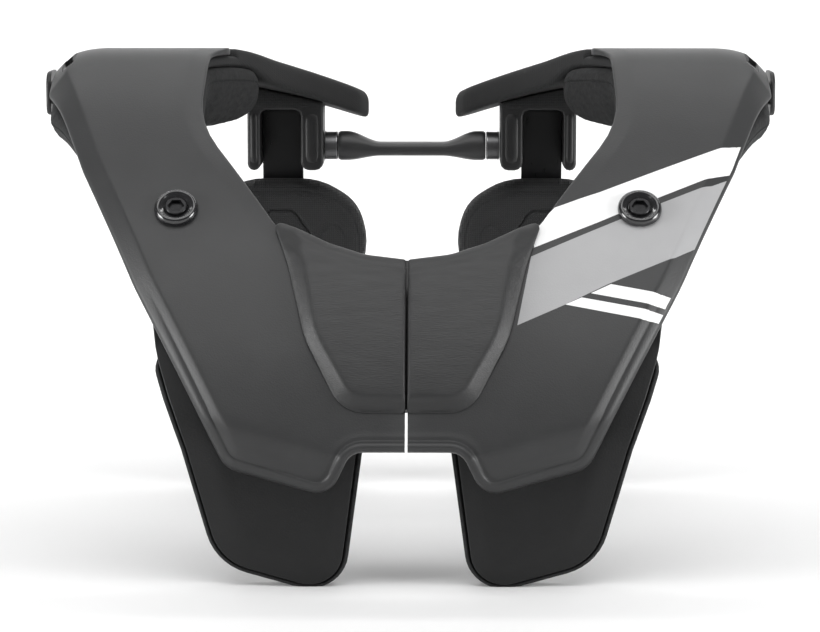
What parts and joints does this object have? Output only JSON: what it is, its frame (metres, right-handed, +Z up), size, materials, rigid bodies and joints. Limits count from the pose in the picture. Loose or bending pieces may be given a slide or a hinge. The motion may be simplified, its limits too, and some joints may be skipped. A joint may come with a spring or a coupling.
{
  "type": "motocross neck brace",
  "caption": "Two-half motocross neck brace: folded shells over padded shoulder frames, chest and back supports on spring arms, rubber link bar behind, open neck.",
  "frame": {"origin": "centre of the bounding box at floor level, with the brace standing on its chest and back pads", "axes": "+X to the right of a front view, from one shoulder to the other; +Y from the chest to the back; +Z up"},
  "size_m": [0.301, 0.2278, 0.1979],
  "materials": {
    "shell": "satin dark grey moulded shell",
    "front_pad": "dark grey padded cover with a fine leather grain",
    "frame": "near-black moulded frame",
    "foam": "dark grey foam with a fine texture",
    "plate": "black plate with a fine grain",
    "arm": "glossy black spring strip",
    "mesh_pad": "dark grey pad under a diamond mesh",
    "bolt": "glossy black cap and socket screw",
    "spacer": "dark anodised, with bright end rings",
    "link_rubber": "satin black rubber"
  },
  "bodies": {
    "root": {"front_shell_left": "shell", "front_shell_right": "shell", "front_pad_left": "front_pad", "front_pad_right": "front_pad", "frame_left": "frame", "frame_right": "frame", "shoulder_pad_left": "foam", "shoulder_pad_right": "foam", "chest_plate_left": "plate", "chest_plate_right": "plate", "chest_foam_left": "foam", "chest_foam_right": "foam", "bolt_cap_left": "bolt", "bolt_cap_right": "bolt", "bolt_screw_left": "bolt", "bolt_screw_right": "bolt", "front_clasp": "frame", "side_clip_left": "frame", "side_clip_right": "frame", "rear_bracket_left": "frame", "rear_bracket_right": "frame", "link_bar": "link_rubber", "bar_spacer_left": "spacer", "bar_spacer_right": "spacer", "back_pad_left": "mesh_pad", "back_pad_right": "mesh_pad", "back_plate_left": "plate", "back_plate_right": "plate", "back_arm_left": "arm", "back_arm_right": "arm"}
  },
  "joints": []
}
